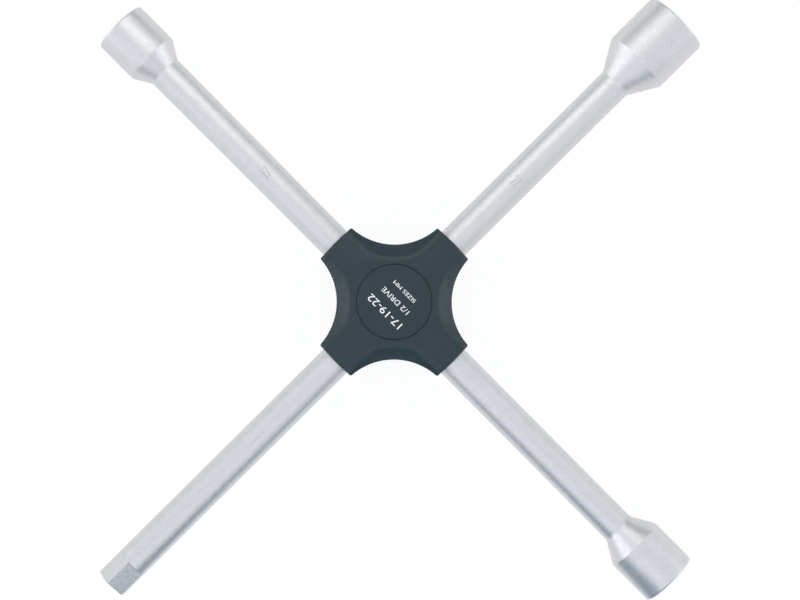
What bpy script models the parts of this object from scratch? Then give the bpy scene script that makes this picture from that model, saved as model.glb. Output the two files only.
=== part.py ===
"""Four-way wheel brace: two crossed steel bars with three hexagon socket heads and
one square drive, held by a two-shell plastic hub.

The origin is where the bars' axes cross. The 22 mm head is at +X, the square drive
at -X, the 17 mm head at +Y, the 19 mm head at -Y, and the labelled cap faces +Z.
"""

from dataclasses import dataclass
from math import cos, pi, radians, sin, sqrt, tan

import bmesh
import bpy
from mathutils import Matrix, Vector

MM = 0.001
GAP = 0.3 * MM  # kept between pieces that touch
PAST = 1.0 * MM  # how far a cutter runs past the face that it opens
MERGE = 0.00001
ROUND_SIDES = 40
SMALL_SIDES = 16

# Bars
BAR_RADIUS = 8.0 * MM
BAR_CLEARANCE_RADIUS = BAR_RADIUS + GAP
SPIGOT_RADIUS = 6.0 * MM
SPIGOT_LENGTH = 7.0 * MM
SPIGOT_CHAMFER = 0.6 * MM
SPLIT_BEFORE_NECK = 2.0 * MM
TAPER_START = 60.0 * MM

# Square drive
DRIVE_TIP = 192.5 * MM
DRIVE_ACROSS_FLATS = 12.7 * MM
DRIVE_FLAT_LENGTH = 14.3 * MM
DRIVE_CHAMFER = 0.6 * MM
DRIVE_TURN = radians(30)

# Detent in the square drive
DETENT_FROM_TIP = 9.0 * MM
BALL_RADIUS = 2.5 * MM
BALL_PROTRUSION = 1.07 * MM
MOUTH_RADIUS = 2.2 * MM
POCKET_RADIUS = 2.65 * MM
MOUTH_DEPTH = 0.9 * MM
POCKET_DEPTH = 10.3 * MM
SPRING_RADIUS = 1.9 * MM
SPRING_WIRE_RADIUS = 0.25 * MM
SPRING_TURNS = 6
SPRING_POINTS_PER_TURN = 12
BALL_RINGS = 14

# Hub shells: a star whose four flanks are arcs about centres on the diagonals
FLANK_CENTRE = 41.3 * MM
FLANK_RADIUS = 30.8 * MM
LOBE_END = 40.2 * MM
HUB_HALF_HEIGHT = 14.5 * MM
LOBE_DROP = 3.3 * MM
DOME_START = 19.2 * MM
WALL_HEIGHT = 9.6 * MM  # of the upright sides, under a chamfer that blends into the top
WAIST_CHAMFER = 7.6 * MM
FLANK_CHAMFER = 3.0 * MM
END_CHAMFER = 1.4 * MM
CHAMFER_PROFILE = ((0, 0), (0.72, 0.84), (0.87, 0.96), (1, 1))  # shares of its width and rise
FLANK_STEPS = 12
END_STEPS = 3
POCKET_WALL = 3.5 * MM
POCKET_TOP = 8.0 * MM
RIB_HALF_WIDTH = 10.6 * MM
BOSS_RADIUS = 3.6 * MM

# Caps
CAP_RADIUS = 18.0 * MM
CAP_THICKNESS = 1.6 * MM
CAP_CHAMFER = 0.25 * MM
CAP_STUD_RADIUS = 3.0 * MM
CAP_STUD_LENGTH = 2.9 * MM
RECESS_FLOOR = HUB_HALF_HEIGHT - CAP_THICKNESS - GAP

# Hub screws, M3, with a nut in a hexagon pocket at the rear
SCREW_OFFSET = 10.8 * MM
SCREW_RADIUS = 1.4 * MM
SCREW_HEAD_RADIUS = 2.6 * MM
SCREW_HEAD_HEIGHT = 2.4 * MM
SCREW_HEAD_BLEND = 0.7 * MM
SCREW_SLOT_LENGTH = 3.2 * MM
SCREW_SLOT_WIDTH = 0.7 * MM
SCREW_SLOT_DEPTH = 1.2 * MM
NUT_ACROSS_FLATS = 5.5 * MM
NUT_THICKNESS = 2.4 * MM
SEAT_DEPTH = 3.0 * MM  # of a head's or a nut's pocket below the cap recess
SEAT_HEIGHT = RECESS_FLOOR - SEAT_DEPTH


@dataclass(frozen=True)
class Head:
    """A socket head: where it starts, widens and ends along its arm, and its sizes."""

    name: str
    direction: tuple
    across_flats: float
    outer_radius: float
    neck: float
    shoulder: float
    rim: float
    neck_radius: float
    neck_blend: float
    shoulder_blend: float
    hex_depth: float
    bore_depth: float

    @property
    def split(self):
        """Where the bar ends and the head begins, a little before the neck."""
        return self.neck - SPLIT_BEFORE_NECK


HEAD_17 = Head(
    "socket_17", (0, 1), 17.2 * MM, 13.6 * MM, 157.2 * MM, 166.2 * MM, 188.25 * MM,
    8.35 * MM, 1.0 * MM, 3.5 * MM, 16.0 * MM, 21.0 * MM,
)
HEAD_19 = Head(
    "socket_19", (0, -1), 19.2 * MM, 14.4 * MM, 153.5 * MM, 164.4 * MM, 188.25 * MM,
    8.05 * MM, 5.0 * MM, 2.0 * MM, 17.0 * MM, 22.0 * MM,
)
HEAD_22 = Head(
    "socket_22", (1, 0), 22.2 * MM, 16.6 * MM, 150.2 * MM, 165.0 * MM, 192.5 * MM,
    8.0 * MM, 2.5 * MM, 1.5 * MM, 19.0 * MM, 24.0 * MM,
)
RIM_BLEND = 0.9 * MM
RIM_LEAD_IN = 0.4 * MM  # how far the mouth's chamfer reaches past the hexagon's corners
LEAD_IN_TOOL = 3.0 * MM  # the length of the 45 degree tool that cuts that chamfer
DRILL_ALLOWANCE = 0.1 * MM
DRILL_SIDES = 36

STEEL = ("satin_chrome", (0.60, 0.61, 0.63, 1), 0.35, 1.0)
WELD = ("weld_metal", (0.32, 0.31, 0.30, 1), 0.55, 1.0)
PLASTIC = ("hub_plastic", (0.030, 0.038, 0.045, 1), 0.45, 0.0)
CAP_PLASTIC = ("cap_plastic", (0.032, 0.040, 0.048, 1), 0.5, 0.0)
ZINC = ("zinc_plate", (0.55, 0.56, 0.58, 1), 0.4, 1.0)
BALL_STEEL = ("ball_steel", (0.70, 0.71, 0.73, 1), 0.15, 1.0)
SPRING_STEEL = ("spring_steel", (0.35, 0.35, 0.37, 1), 0.3, 1.0)


# ---------------------------------------------------------------- helpers


def material(spec):
    name, colour, roughness, metallic = spec
    found = bpy.data.materials.get(name)
    if found:
        return found
    made = bpy.data.materials.new(name)
    made.use_nodes = True
    shader = made.node_tree.nodes["Principled BSDF"]
    shader.inputs["Base Color"].default_value = colour
    shader.inputs["Roughness"].default_value = roughness
    shader.inputs["Metallic"].default_value = metallic
    made.diffuse_color = colour
    return made


def add_part(name, mesh, spec, parent=None):
    """A sub-part: shaded smooth up to 35 degrees, in the object's own collection."""
    mesh.materials.append(material(spec))
    mesh.shade_smooth()
    mesh.set_sharp_from_angle(angle=radians(35))
    part = bpy.data.objects.new(name, mesh)
    PARTS.objects.link(part)
    part.parent = parent
    return part


def add_cutter(name, mesh, parent=None):
    cutter = bpy.data.objects.new(name, mesh)
    CUTTERS.objects.link(cutter)
    cutter.parent = parent
    cutter.hide_render = True
    cutter.display_type = "WIRE"
    return cutter


def cut(part, cutter, solver="EXACT"):
    change = part.modifiers.new(cutter.name, "BOOLEAN")
    change.operation = "DIFFERENCE"
    change.solver = solver
    change.object = cutter


def mesh_from(bm, name):
    mesh = bpy.data.meshes.new(name)
    bm.to_mesh(mesh)
    bm.free()
    return mesh


def along(start, end):
    """The matrix that puts a Z-long primitive's middle between two points."""
    start, end = Vector(start), Vector(end)
    turn = Vector((0, 0, 1)).rotation_difference(end - start).to_matrix().to_4x4()
    return Matrix.Translation((start + end) / 2) @ turn


def cone_mesh(name, start, end, start_radius, end_radius, sides=ROUND_SIDES, spin=0.0):
    bm = bmesh.new()
    bmesh.ops.create_cone(
        bm,
        cap_ends=True,
        segments=sides,
        radius1=start_radius,
        radius2=end_radius,
        depth=(Vector(end) - Vector(start)).length,
        matrix=along(start, end) @ Matrix.Rotation(spin, 4, "Z"),
    )
    return mesh_from(bm, name)


def cylinder_mesh(name, start, end, radius, sides=ROUND_SIDES, spin=0.0):
    return cone_mesh(name, start, end, radius, radius, sides, spin)


def box_mesh(name, low, high):
    low, high = Vector(low), Vector(high)
    bm = bmesh.new()
    place = Matrix.Translation((low + high) / 2) @ Matrix.Diagonal((*(high - low), 1))
    bmesh.ops.create_cube(bm, size=1, matrix=place)
    return mesh_from(bm, name)


def rounded(corners, steps=3):
    """A profile's points, from (radius, height, blend) corners, each blend an arc."""
    points = []
    for index, (x, z, blend) in enumerate(corners):
        here = Vector((x, z))
        if not blend:
            points.append(here)
            continue
        back = (Vector(corners[index - 1][:2]) - here).normalized()
        ahead = (Vector(corners[index + 1][:2]) - here).normalized()
        half_angle = back.angle(ahead) / 2
        middle = (back + ahead).normalized() * (blend / sin(half_angle)) + here
        first = back * (blend / tan(half_angle)) + here - middle
        last = ahead * (blend / tan(half_angle)) + here - middle
        for step in range(steps + 1):
            spoke = first.lerp(last, step / steps).normalized() * blend
            points.append(middle + spoke)
    return points


def turned_mesh(name, corners, sides=ROUND_SIDES):
    """A solid of revolution about Z, from a profile that runs from its top down."""
    profile = bpy.data.meshes.new(name)
    points = rounded(corners)
    edges = [(index, index + 1) for index in range(len(points) - 1)]
    profile.from_pydata([(p.x, 0, p.y) for p in points], edges, [])
    lathe = bpy.data.objects.new(name, profile)
    CUTTERS.objects.link(lathe)
    screw = lathe.modifiers.new("turn", "SCREW")
    screw.steps = screw.render_steps = sides
    screw.use_merge_vertices = True
    screw.merge_threshold = MERGE
    return applied(lathe, name)


def applied(thing, name):
    """The evaluated mesh of an object or curve, which is then removed."""
    shown = thing.evaluated_get(bpy.context.evaluated_depsgraph_get())
    mesh = bpy.data.meshes.new_from_object(shown)
    mesh.name = name
    bpy.data.objects.remove(thing)
    bm = bmesh.new()
    bm.from_mesh(mesh)
    bmesh.ops.remove_doubles(bm, verts=bm.verts, dist=MERGE)
    bm.to_mesh(mesh)
    bm.free()
    return mesh


def axis_empty(name, direction, location=(0, 0, 0)):
    """An empty whose Z axis runs along an arm, or along a hole."""
    empty = bpy.data.objects.new(name, None)
    PARTS.objects.link(empty)
    empty.rotation_euler = Vector(direction).to_track_quat("Z", "Y").to_euler()
    empty.location = location
    bpy.context.view_layer.update()
    return empty


# ---------------------------------------------------------------- steel


def socket_head(head):
    """A head turned outside, bored, broached to a hexagon and chamfered at its mouth."""
    arm = axis_empty(f"arm_{head.name}", (*head.direction, 0))
    base = head.split + GAP / 2
    bore = SPIGOT_RADIUS + GAP
    bore_end = head.split + SPIGOT_LENGTH + GAP
    corners = [
        (0, head.rim, 0),
        (head.outer_radius, head.rim, RIM_BLEND),
        (head.outer_radius, head.shoulder, head.shoulder_blend),
        (head.neck_radius, head.neck, head.neck_blend),
        (head.neck_radius, base, 0),
        (bore, base, 0),
        (bore, bore_end, 0),
        (0, bore_end, 0),
    ]
    part = add_part(head.name, turned_mesh(head.name, corners), STEEL, arm)

    past_rim = head.rim + PAST
    corner_radius = head.across_flats / sqrt(3)
    mouth_radius = corner_radius + RIM_LEAD_IN
    half_flats = head.across_flats / 2
    drilled = cylinder_mesh(
        "drilled", (0, 0, head.rim - head.bore_depth), (0, 0, past_rim),
        half_flats + DRILL_ALLOWANCE, DRILL_SIDES,
    )
    hexagon = cylinder_mesh(
        "hexagon", (0, 0, head.rim - head.hex_depth), (0, 0, past_rim),
        corner_radius, 6, pi / 6,
    )
    lead_in = cone_mesh(
        "lead_in", (0, 0, head.rim - LEAD_IN_TOOL), (0, 0, past_rim),
        mouth_radius - LEAD_IN_TOOL, mouth_radius + PAST,
    )
    for tool in (drilled, hexagon, lead_in):
        cut(part, add_cutter(f"{head.name}_{tool.name}", tool, arm))


def spigot_corners(head):
    """The bar's profile from a spigot's tip, down its outside, to where it tapers."""
    end = head.split - GAP / 2
    tip = head.split + SPIGOT_LENGTH
    return [
        (0, tip),
        (SPIGOT_RADIUS - SPIGOT_CHAMFER, tip),
        (SPIGOT_RADIUS, tip - SPIGOT_CHAMFER),
        (SPIGOT_RADIUS, end),
        (head.neck_radius, end),
        (BAR_RADIUS, TAPER_START),
    ]


def drive_corners():
    """The bar's profile at its plain end, from the tip."""
    return [
        (0, DRIVE_TIP),
        (BAR_RADIUS - DRIVE_CHAMFER, DRIVE_TIP),
        (BAR_RADIUS, DRIVE_TIP - DRIVE_CHAMFER),
        (BAR_RADIUS, TAPER_START),
    ]


def bar(name, direction, top, bottom):
    """A turned bar from its +Z end's profile and its -Z end's, laid along its axis."""
    down = [(x, z, 0) for x, z in top]
    up = [(x, -z, 0) for x, z in reversed(bottom)]
    mesh = turned_mesh(name, down + up)
    return add_part(name, mesh, STEEL, axis_empty(f"axis_{name}", (*direction, 0)))


def lap_notch(part, across, keep_below):
    """Half of the bar's section taken away where the other bar passes."""
    reach = BAR_CLEARANCE_RADIUS
    wide = 2 * BAR_RADIUS
    half = Vector((reach, wide, 0)) if across == "X" else Vector((wide, reach, 0))
    low, high = (-GAP / 2, wide) if keep_below else (-wide, GAP / 2)
    box = box_mesh("lap", (-half.x, -half.y, low), (half.x, half.y, high))
    cut(part, add_cutter(f"{part.name}_lap", box))


def square_drive(part):
    """Four flats milled on the round bar, which keeps its own corners."""
    flat = DRIVE_ACROSS_FLATS / 2
    for index in range(4):
        box = box_mesh(
            "flat",
            (-DRIVE_TIP - PAST, flat, -BAR_RADIUS),
            (-DRIVE_TIP + DRIVE_FLAT_LENGTH, flat + BAR_RADIUS, BAR_RADIUS),
        )
        cutter = add_cutter(f"drive_flat_{index + 1}", box)
        cutter.rotation_euler.x = DRIVE_TURN + index * pi / 2
        cut(part, cutter)


def detent_axis():
    """An empty at the detent's hole, on the bar's axis, its Z out of the hole."""
    outward = (0, -cos(DRIVE_TURN), -sin(DRIVE_TURN))
    return axis_empty("axis_detent", outward, (DETENT_FROM_TIP - DRIVE_TIP, 0, 0))


def detent(part):
    """The blind hole across the drive, with the ball behind its lip, on its spring."""
    hole_axis = detent_axis()
    face = DRIVE_ACROSS_FLATS / 2
    floor = face - POCKET_DEPTH
    flare = (POCKET_RADIUS - MOUTH_RADIUS) / MOUTH_DEPTH
    corners = [
        (0, face + PAST, 0),
        (MOUTH_RADIUS - flare * PAST, face + PAST, 0),
        (POCKET_RADIUS, face - MOUTH_DEPTH, 0),
        (POCKET_RADIUS, floor, 0),
        (0, floor, 0),
    ]
    hole = turned_mesh("detent_hole", corners, SMALL_SIDES)
    cut(part, add_cutter("detent_hole", hole, hole_axis))

    ball_height = face + BALL_PROTRUSION - BALL_RADIUS
    bm = bmesh.new()
    bmesh.ops.create_uvsphere(bm, u_segments=SMALL_SIDES, v_segments=BALL_RINGS, radius=BALL_RADIUS)
    ball = add_part("detent_ball", mesh_from(bm, "detent_ball"), BALL_STEEL, hole_axis)
    ball.location.z = ball_height

    seat = ball_height - sqrt(BALL_RADIUS**2 - SPRING_RADIUS**2)
    low = floor + GAP + SPRING_WIRE_RADIUS
    high = seat - GAP - SPRING_WIRE_RADIUS
    count = SPRING_TURNS * SPRING_POINTS_PER_TURN
    curve = bpy.data.curves.new("detent_spring", "CURVE")
    curve.dimensions = "3D"
    curve.bevel_depth = SPRING_WIRE_RADIUS
    curve.bevel_resolution = 1
    curve.use_fill_caps = True
    line = curve.splines.new("POLY")
    line.points.add(count)
    for index, point in enumerate(line.points):
        angle = 2 * pi * index / SPRING_POINTS_PER_TURN
        height = low + (high - low) * index / count
        point.co = (SPRING_RADIUS * cos(angle), SPRING_RADIUS * sin(angle), height, 1)
    coil = bpy.data.objects.new("detent_coil", curve)
    CUTTERS.objects.link(coil)
    add_part("detent_spring", applied(coil, "detent_spring"), SPRING_STEEL, hole_axis)


def weld_bead(name, direction, side):
    """Weld metal in the groove between one bar's round side and the other's cut end."""
    x, y = direction
    reach = BAR_CLEARANCE_RADIUS - GAP
    other = 2 * BAR_RADIUS
    bead = cylinder_mesh(name, (0, 0, 0), (x * reach, y * reach, 0), BAR_RADIUS)
    part = add_part(name, bead, WELD)
    passing = cylinder_mesh(
        "passing", (-y * other, -x * other, 0), (y * other, x * other, 0),
        BAR_CLEARANCE_RADIUS,
    )
    cut(part, add_cutter(f"{name}_passing", passing))
    low, high = sorted((side * GAP, -side * other))
    away = box_mesh("away", (-other, -other, low), (other, other, high))
    cut(part, add_cutter(f"{name}_away", away))


# ---------------------------------------------------------------- hub


def dome_height(radius):
    """The hub's height over its middle plane: flat in the middle, lower on the lobes."""
    share = max(0.0, (radius - DOME_START) / (LOBE_END - DOME_START))
    return HUB_HALF_HEIGHT - LOBE_DROP * share**1.5


def star_outline(waist_inset, flank_inset, end_inset):
    """The star's outline, its waists, flanks and lobe ends drawn in by these amounts."""
    end = LOBE_END - end_inset
    corner_radius = FLANK_RADIUS + flank_inset
    corner = FLANK_CENTRE - sqrt(corner_radius**2 - (FLANK_CENTRE - end) ** 2)
    to_corner = Vector((FLANK_CENTRE - end, FLANK_CENTRE - corner))
    widest = pi / 4 - to_corner.angle(Vector((0, 1)))
    quarter = []
    for step in range(END_STEPS):
        quarter.append(Vector((end, -corner + 2 * corner * step / END_STEPS)))
    for step in range(FLANK_STEPS + 1):
        share = 1 - 2 * step / FLANK_STEPS
        inset = waist_inset + (flank_inset - waist_inset) * share**2
        angle = 5 * pi / 4 + widest * share
        spoke = Vector((cos(angle), sin(angle))) * (FLANK_RADIUS + inset)
        quarter.append(Vector((FLANK_CENTRE, FLANK_CENTRE)) + spoke)
    quarter.pop()
    points = []
    for turn in range(4):
        points += [Matrix.Rotation(turn * pi / 2, 2) @ point for point in quarter]
    return points


def loft(name, rings):
    """A closed solid through rings of equal numbers of points, flat at both ends."""
    bm = bmesh.new()
    loops = [[bm.verts.new(point) for point in ring] for ring in rings]
    for lower, upper in zip(loops, loops[1:]):
        for index in range(len(lower)):
            bm.faces.new((lower[index - 1], lower[index], upper[index], upper[index - 1]))
    bm.faces.new(reversed(loops[0]))
    bm.faces.new(loops[-1])
    return mesh_from(bm, name)


def shell_mesh(name):
    """Half of the hub: upright sides, chamfered flanks, sloping lobes, a recess for the cap."""
    rings = [[(p.x, p.y, GAP / 2) for p in star_outline(0, 0, 0)]]
    for inward, up in CHAMFER_PROFILE:
        outline = star_outline(
            WAIST_CHAMFER * inward, FLANK_CHAMFER * inward, END_CHAMFER * inward
        )
        heights = [WALL_HEIGHT + (dome_height(p.length) - WALL_HEIGHT) * up for p in outline]
        rings.append([(p.x, p.y, z) for p, z in zip(outline, heights)])
    middle = [p.normalized() * DOME_START for p in outline]
    between = [(p + q) / 2 for p, q in zip(outline, middle)]
    rings.append([(p.x, p.y, dome_height(p.length)) for p in between])
    recess = CAP_RADIUS + GAP
    stud = CAP_STUD_RADIUS + GAP
    steps_in = (
        (DOME_START, HUB_HALF_HEIGHT),
        (recess, HUB_HALF_HEIGHT),
        (recess, RECESS_FLOOR),
        (stud, RECESS_FLOOR),
        (stud, RECESS_FLOOR - CAP_STUD_LENGTH),
    )
    for radius, height in steps_in:
        ring = [p.normalized() * radius for p in outline]
        rings.append([(p.x, p.y, height) for p in ring])
    return loft(name, rings)


def pocket_cutter(parent):
    """The four hollows between the bars, around the screw bosses."""
    outline = star_outline(POCKET_WALL, POCKET_WALL, POCKET_WALL)
    rings = [[(p.x, p.y, z) for p in outline] for z in (-PAST, POCKET_TOP)]
    pocket = add_cutter(f"{parent.name}_pocket", loft("pocket", rings), parent)
    far = 2 * LOBE_END
    low, high = -2 * PAST, HUB_HALF_HEIGHT
    wide = RIB_HALF_WIDTH
    ribs = (
        box_mesh("rib_x", (-far, -wide, low), (far, wide, high)),
        box_mesh("rib_y", (-wide, -far, low), (wide, far, high)),
    )
    for rib in ribs:
        cut(pocket, add_cutter(f"{parent.name}_{rib.name}", rib, parent))
    for index, (x, y) in enumerate(screw_places()):
        boss = cylinder_mesh("boss", (x, y, low), (x, y, high), BOSS_RADIUS, SMALL_SIDES)
        cut(pocket, add_cutter(f"{parent.name}_boss_{index}", boss, parent))
    return pocket


def screw_places():
    return [(x * SCREW_OFFSET, y * SCREW_OFFSET) for x, y in ((1, 1), (-1, 1), (-1, -1), (1, -1))]


def screw_holes(half, holds_nuts):
    """Through holes for the screws, with a round or a hexagon seat under the cap."""
    top = HUB_HALF_HEIGHT
    for index, (x, y) in enumerate(screw_places()):
        hole = cylinder_mesh(
            "hole", (x, y, -PAST), (x, y, SEAT_HEIGHT + PAST), SCREW_RADIUS + GAP, SMALL_SIDES
        )
        cut(half, add_cutter(f"{half.name}_hole_{index}", hole, half.parent), "MANIFOLD")
        sides, radius, spin = SMALL_SIDES, SCREW_HEAD_RADIUS + GAP, 0
        if holds_nuts:
            # a flat of the nut faces the middle of the hub
            sides, radius, spin = 6, (NUT_ACROSS_FLATS / 2 + GAP) / cos(pi / 6), nut_spin(x, y)
        seat = cylinder_mesh("seat", (x, y, SEAT_HEIGHT), (x, y, top), radius, sides, spin)
        cut(half, add_cutter(f"{half.name}_seat_{index}", seat, half.parent), "MANIFOLD")


def nut_spin(x, y):
    return Vector((1, 0)).angle_signed(Vector((x, y))) * -1 + pi / 6


def hub_shell(name, turn, holds_nuts):
    """One moulded half of the hub, turned over about X for the rear."""
    side = bpy.data.objects.new(f"side_{name}", None)
    PARTS.objects.link(side)
    side.rotation_euler.x = turn
    bpy.context.view_layer.update()
    half = add_part(name, shell_mesh(name), PLASTIC, side)
    cut(half, pocket_cutter(side))
    far = 2 * LOBE_END
    for axis, (x, y) in (("x", (far, 0)), ("y", (0, far))):
        channel = cylinder_mesh("channel", (-x, -y, 0), (x, y, 0), BAR_CLEARANCE_RADIUS)
        cut(half, add_cutter(f"{name}_channel_{axis}", channel, side))
    screw_holes(half, holds_nuts)
    return side


def cap(name, side):
    """The round cap, flush with the hub, with a stud pressed into the shell."""
    under = HUB_HALF_HEIGHT - CAP_THICKNESS
    stud_end = under - CAP_STUD_LENGTH
    corners = [
        (0, HUB_HALF_HEIGHT, 0),
        (CAP_RADIUS - CAP_CHAMFER, HUB_HALF_HEIGHT, 0),
        (CAP_RADIUS, HUB_HALF_HEIGHT - CAP_CHAMFER, 0),
        (CAP_RADIUS, under, 0),
        (CAP_STUD_RADIUS, under, 0),
        (CAP_STUD_RADIUS, stud_end, 0),
        (0, stud_end, 0),
    ]
    add_part(name, turned_mesh(name, corners), CAP_PLASTIC, side)


def hub_screw(name, x, y, side):
    """An M3 pan-head screw with a cross slot, from the front shell to the rear nut."""
    under_head = SEAT_HEIGHT + GAP
    top = under_head + SCREW_HEAD_HEIGHT
    tip = -(SEAT_HEIGHT + GAP + NUT_THICKNESS)
    corners = [
        (0, top, 0),
        (SCREW_HEAD_RADIUS, top, SCREW_HEAD_BLEND),
        (SCREW_HEAD_RADIUS, under_head, 0),
        (SCREW_RADIUS, under_head, 0),
        (SCREW_RADIUS, tip, 0),
        (0, tip, 0),
    ]
    screw = add_part(name, turned_mesh(name, corners, SMALL_SIDES), ZINC, side)
    screw.location = (x, y, 0)
    long, wide = SCREW_SLOT_LENGTH / 2, SCREW_SLOT_WIDTH / 2
    for slot, half in (("along", (long, wide)), ("across", (wide, long))):
        box = box_mesh(
            slot, (-half[0], -half[1], top - SCREW_SLOT_DEPTH), (half[0], half[1], top + PAST)
        )
        cut(screw, add_cutter(f"{name}_{slot}", box, screw))


def hub_nut(name, x, y, side):
    """An M3 nut in the rear shell's hexagon pocket."""
    low = SEAT_HEIGHT + GAP
    high = low + NUT_THICKNESS
    mesh = cylinder_mesh(
        name, (x, y, low), (x, y, high), NUT_ACROSS_FLATS / sqrt(3), 6, nut_spin(x, y)
    )
    nut = add_part(name, mesh, ZINC, side)
    bore = cylinder_mesh(
        "bore", (x, y, low - PAST), (x, y, high + PAST), SCREW_RADIUS + GAP, SMALL_SIDES
    )
    cut(nut, add_cutter(f"{name}_bore", bore, side))


# ---------------------------------------------------------------- assembly


def collection(name):
    made = bpy.data.collections.new(name)
    bpy.context.scene.collection.children.link(made)
    return made


def main():
    drive_bar = bar("bar_22_drive", (1, 0), spigot_corners(HEAD_22), drive_corners())
    lap_notch(drive_bar, "X", keep_below=True)
    square_drive(drive_bar)
    detent(drive_bar)
    socket_bar = bar("bar_17_19", (0, 1), spigot_corners(HEAD_17), spigot_corners(HEAD_19))
    lap_notch(socket_bar, "Y", keep_below=False)
    for head in (HEAD_17, HEAD_19, HEAD_22):
        socket_head(head)
    weld_bead("weld_22_arm", (1, 0), 1)
    weld_bead("weld_drive_arm", (-1, 0), 1)
    weld_bead("weld_17_arm", (0, 1), -1)
    weld_bead("weld_19_arm", (0, -1), -1)

    front = hub_shell("hub_shell_front", 0, holds_nuts=False)
    rear = hub_shell("hub_shell_rear", pi, holds_nuts=True)
    cap("cap_front", front)
    cap("cap_rear", rear)
    for index, (x, y) in enumerate(screw_places()):
        hub_screw(f"hub_screw_{index + 1}", x, y, front)
        hub_nut(f"hub_nut_{index + 1}", x, -y, rear)


for old in list(bpy.data.objects):
    bpy.data.objects.remove(old)
PARTS = collection("four_way_wheel_brace")
CUTTERS = collection("cutters")
main()
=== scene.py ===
"""Looks of the four-way wheel brace: fine steel and plastic pieces over the CAD frame,
their procedural materials, a white floor, soft studio light and the camera."""

from math import cos, pi, radians, sin, sqrt, tan

import bmesh
import bpy
from mathutils import Matrix, Vector


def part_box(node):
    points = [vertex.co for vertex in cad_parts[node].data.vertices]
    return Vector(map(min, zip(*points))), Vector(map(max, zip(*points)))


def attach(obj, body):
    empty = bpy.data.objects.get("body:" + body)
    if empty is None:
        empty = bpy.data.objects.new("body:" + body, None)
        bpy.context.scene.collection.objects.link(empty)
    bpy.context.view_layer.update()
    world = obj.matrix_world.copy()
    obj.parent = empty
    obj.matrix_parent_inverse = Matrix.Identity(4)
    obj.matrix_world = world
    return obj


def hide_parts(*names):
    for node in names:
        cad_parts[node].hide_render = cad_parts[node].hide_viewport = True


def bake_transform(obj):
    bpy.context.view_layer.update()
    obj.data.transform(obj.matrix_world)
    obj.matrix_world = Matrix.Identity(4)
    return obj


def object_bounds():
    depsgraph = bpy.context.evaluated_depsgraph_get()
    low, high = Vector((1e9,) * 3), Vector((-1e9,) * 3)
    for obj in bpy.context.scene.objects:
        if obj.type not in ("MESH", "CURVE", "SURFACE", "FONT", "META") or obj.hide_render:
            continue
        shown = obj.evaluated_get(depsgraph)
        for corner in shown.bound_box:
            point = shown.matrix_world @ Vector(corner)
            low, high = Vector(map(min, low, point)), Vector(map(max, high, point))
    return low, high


MM = 0.001

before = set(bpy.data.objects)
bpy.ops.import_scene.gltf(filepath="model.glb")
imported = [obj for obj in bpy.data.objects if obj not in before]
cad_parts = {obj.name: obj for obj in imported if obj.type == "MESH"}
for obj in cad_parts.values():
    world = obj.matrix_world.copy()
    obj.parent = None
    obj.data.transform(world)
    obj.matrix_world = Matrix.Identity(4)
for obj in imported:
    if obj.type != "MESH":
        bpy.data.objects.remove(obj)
CAD_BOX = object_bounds()

# Sizes read from the frame
LOW, HIGH = 0, 1
HUB_LOW, HUB_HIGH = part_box("hub_shell_front")
LOBE_END = HUB_HIGH.x
HUB_HALF_HEIGHT = HUB_HIGH.z
BAR_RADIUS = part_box("bar_22_drive")[HIGH].z
DRIVE_TIP = -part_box("bar_22_drive")[LOW].x
CAP_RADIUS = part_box("cap_front")[HIGH].x
FLOOR_HEIGHT = CAD_BOX[LOW].z

# Steel
SIDES = 144
JOIN_GAP = 0.01 * MM  # between a bar and its heads, whose weld is ground flush
SPLIT_BEFORE_NECK = 2.0 * MM
SPIGOT_RADIUS = 6.0 * MM
SPIGOT_LENGTH = 7.0 * MM
BORE_CLEARANCE = 0.05 * MM
TAPER_START = 60.0 * MM
DRIVE_ACROSS_FLATS = 12.7 * MM
DRIVE_FLAT_LENGTH = 14.3 * MM
DRIVE_CHAMFER = 0.3 * MM
DRIVE_TURN = radians(30)
GROOVE_WIDTH = 0.45 * MM
GROOVE_DEPTH = 0.35 * MM
LAP_GAP = 0.15 * MM
DETENT_FROM_TIP = 9.0 * MM
BALL_RADIUS = 2.5 * MM
MOUTH_RADIUS = 2.2 * MM
POCKET_RADIUS = 2.65 * MM
MOUTH_DEPTH = 0.9 * MM
POCKET_DEPTH = 10.3 * MM
SPRING_RADIUS = 1.9 * MM
SPRING_WIRE_RADIUS = 0.25 * MM
SPRING_GAP = 0.04 * MM
SPRING_TURNS = 6
SPRING_POINTS_PER_TURN = 24
RIM_BLEND = 0.9 * MM
RIM_LEAD_IN = 0.4 * MM

STEEL_COLOUR = (0.63, 0.633, 0.65)

# Stamped numerals
STAMP_DEPTH = 0.45 * MM
STAMP_SIZE = 8.2 * MM
STAMP_WIDTH = 0.50  # of the plain numeral's width

# Hub: a star whose four flanks are arcs about centres on the diagonals
FLANK_CENTRE = 41.3 * MM
FLANK_RADIUS = 30.8 * MM
CORNER_RADIUS = 1.3 * MM
END_BULGE = 0.35 * MM
LOBE_DROP = 3.3 * MM
DOME_START = 19.2 * MM
WALL_HEIGHT = 9.6 * MM  # of the upright sides, under a chamfer that blends into the top
WAIST_CHAMFER = 8.4 * MM
FLANK_CHAMFER = 3.0 * MM
END_CHAMFER = 1.4 * MM
EDGE_BLEND = 0.6 * MM
CHAMFER_STRAIGHT = 0.62  # share of the chamfer that is straight at the waists
CHAMFER_STEPS = 24
PARTING_GAP = 0.04 * MM
PARTING_CHAMFER = 0.22 * MM
BAR_HOLE_RADIUS = BAR_RADIUS + 0.12 * MM
RECESS_GAP = 0.13 * MM
CAP_THICKNESS = 1.6 * MM
CAP_STUD_RADIUS = 3.0 * MM
CAP_STUD_LENGTH = 2.9 * MM
SCREW_OFFSET = 10.8 * MM
SCREW_HOLE_RADIUS = 1.7 * MM
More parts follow.
